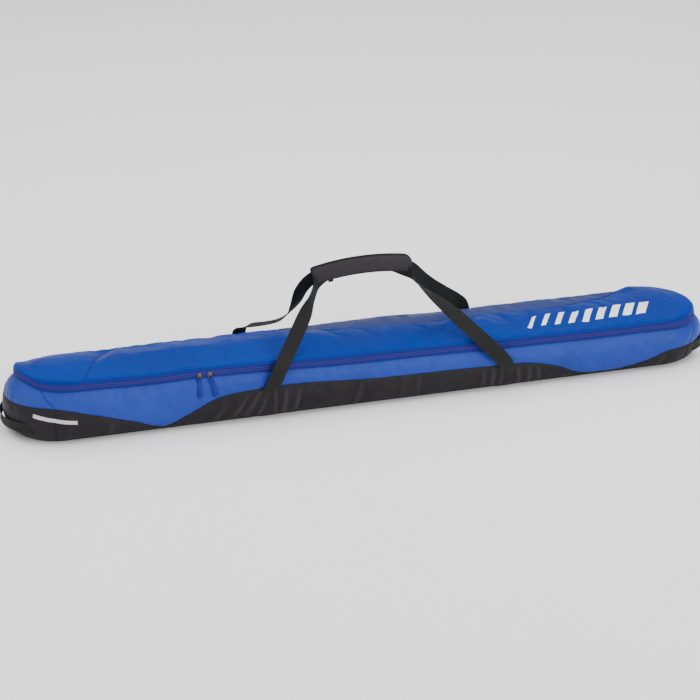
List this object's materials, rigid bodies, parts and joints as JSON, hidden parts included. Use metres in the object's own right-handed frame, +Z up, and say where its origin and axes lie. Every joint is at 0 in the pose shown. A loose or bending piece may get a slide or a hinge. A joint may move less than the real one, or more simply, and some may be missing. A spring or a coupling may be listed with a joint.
{
  "type": "padded ski bag",
  "caption": "Long padded bag for one pair of skis, with a U-shaped zipped lid, a folding padded carry handle, haul loops on both ends and a scalloped dark base.",
  "frame": {"origin": "centre of the flat underside", "axes": "+X along the bag toward the end where the zipper line is lower, +Y toward the hinged rear side, away from the zipper sliders, +Z up"},
  "size_m": [1.8932, 0.3098, 0.3601],
  "materials": {
    "black_base": "coated woven polyester, matt",
    "black_shell": "woven polyester, matt",
    "blue_wall": "coated ripstop polyester, semi-gloss",
    "blue_lid": "coated polyester, semi-gloss",
    "blue_lid_dull": "coated polyester, satin",
    "blue_binding": "grosgrain binding",
    "foam": "closed-cell foam",
    "lining": "thin woven lining",
    "lid_lining": "thin woven lining over foam",
    "zipper_tape": "woven zipper tape",
    "zipper_coil": "moulded nylon coil",
    "dark_tab": "folded tape",
    "white_label": "printed white label",
    "webbing": "woven polyester webbing",
    "loop_tape": "loop tape",
    "hook_tape": "hook tape",
    "slider_metal": "antique bronze plating",
    "blue_pull": "folded webbing tab",
    "grip_fabric": "padded woven fabric with bound edges"
  },
  "bodies": {
    "bag_body": {"base_panel": "black_base", "left_under_strap": "webbing", "right_under_strap": "webbing", "front_skirt": "black_shell", "rear_skirt": "black_shell", "left_end_bumper": "black_shell", "right_end_bumper": "black_shell", "front_side_panel": "blue_wall", "rear_side_panel": "blue_wall", "left_end_panel": "blue_wall", "right_end_panel": "blue_wall", "wall_padding": "foam", "floor_padding": "foam", "inner_lining": "lining", "lower_zipper_tape": "zipper_tape", "lower_zipper_coil": "zipper_coil", "rear_seam_binding": "blue_binding", "zipper_end_tabs": "dark_tab", "name_strip": "white_label", "handle_foot_stubs": "webbing", "haul_handle_stubs": "webbing", "ski_strap_loops": "loop_tape"},
    "lid": {"lid_main_panel": "blue_lid", "lid_left_cap": "blue_lid", "lid_rear_strip": "blue_lid_dull", "lid_padding": "lid_lining", "upper_zipper_tape": "zipper_tape", "upper_zipper_coil": "zipper_coil", "lid_rear_binding": "blue_binding"},
    "left_slider": {"left_slider_body": "slider_metal"},
    "left_pull": {"left_pull_ring": "slider_metal", "left_pull_tab": "blue_pull"},
    "right_slider": {"right_slider_body": "slider_metal"},
    "right_pull": {"right_pull_ring": "slider_metal", "right_pull_tab": "blue_pull"},
    "front_handle": {"front_handle_webbing": "webbing", "front_grip_pad": "grip_fabric", "grip_hook_strip": "hook_tape"},
    "rear_handle": {"rear_handle_webbing": "webbing", "rear_grip_pad": "grip_fabric", "grip_loop_strip": "loop_tape"},
    "left_haul": {"left_haul_handle": "webbing", "left_haul_tag": "white_label"},
    "right_haul": {"right_haul_handle": "webbing"},
    "left_ski_strap": {"left_ski_strap_hook": "hook_tape"},
    "right_ski_strap": {"right_ski_strap_hook": "hook_tape"}
  },
  "joints": [
    {"name": "lid_hinge", "type": "hinge", "parent": "bag_body", "child": "lid", "pos_m": [0, 0.132, 0.134], "axis": [-0.9998, 0, 0.0212], "range_deg": [0, 105]},
    {"name": "front_handle_hinge", "type": "hinge", "parent": "bag_body", "child": "front_handle", "pos_m": [-0.00131, -0.149, 0.07201], "axis": [0.9998, 0, -0.0212], "range_deg": [0, 115]},
    {"name": "rear_handle_hinge", "type": "hinge", "parent": "bag_body", "child": "rear_handle", "pos_m": [-0.00131, 0.149, 0.07201], "axis": [-0.9998, 0, 0.0212], "range_deg": [0, 115]},
    {"name": "left_slider_slide", "type": "slide", "parent": "bag_body", "child": "left_slider", "axis": [0.9998, 0, -0.0212], "range_m": [-0.295, 0]},
    {"name": "left_pull_hinge", "type": "hinge", "parent": "left_slider", "child": "left_pull", "pos_m": [-0.4669, -0.1361, 0.1439], "axis": [-0.9998, 0, 0.0212], "range_deg": [0, 150]},
    {"name": "right_slider_slide", "type": "slide", "parent": "bag_body", "child": "right_slider", "axis": [0.9998, 0, -0.0212], "range_m": [0, 1.2]},
    {"name": "right_pull_hinge", "type": "hinge", "parent": "right_slider", "child": "right_pull", "pos_m": [-0.4399, -0.1361, 0.14333], "axis": [-0.9998, 0, 0.0212], "range_deg": [0, 150]},
    {"name": "left_haul_hinge", "type": "hinge", "parent": "bag_body", "child": "left_haul", "pos_m": [-0.91175, 0, 0.044], "axis": [0, 1, 0], "range_deg": [-30, 10]},
    {"name": "right_haul_hinge", "type": "hinge", "parent": "bag_body", "child": "right_haul", "pos_m": [0.91175, 0, 0.044], "axis": [0, -1, 0], "range_deg": [-30, 10]},
    {"name": "left_ski_strap_hinge", "type": "hinge", "parent": "bag_body", "child": "left_ski_strap", "pos_m": [-0.42, 0.096, 0.0143], "axis": [-1, 0, 0], "range_deg": [0, 90]},
    {"name": "right_ski_strap_hinge", "type": "hinge", "parent": "bag_body", "child": "right_ski_strap", "pos_m": [0.42, 0.096, 0.0143], "axis": [-1, 0, 0], "range_deg": [0, 90]}
  ],
  "couplings": [
    {"joint": "front_handle_hinge", "follows": "lid_hinge", "ratio": 1.0952},
    {"joint": "rear_handle_hinge", "follows": "lid_hinge", "ratio": 1.0952}
  ]
}
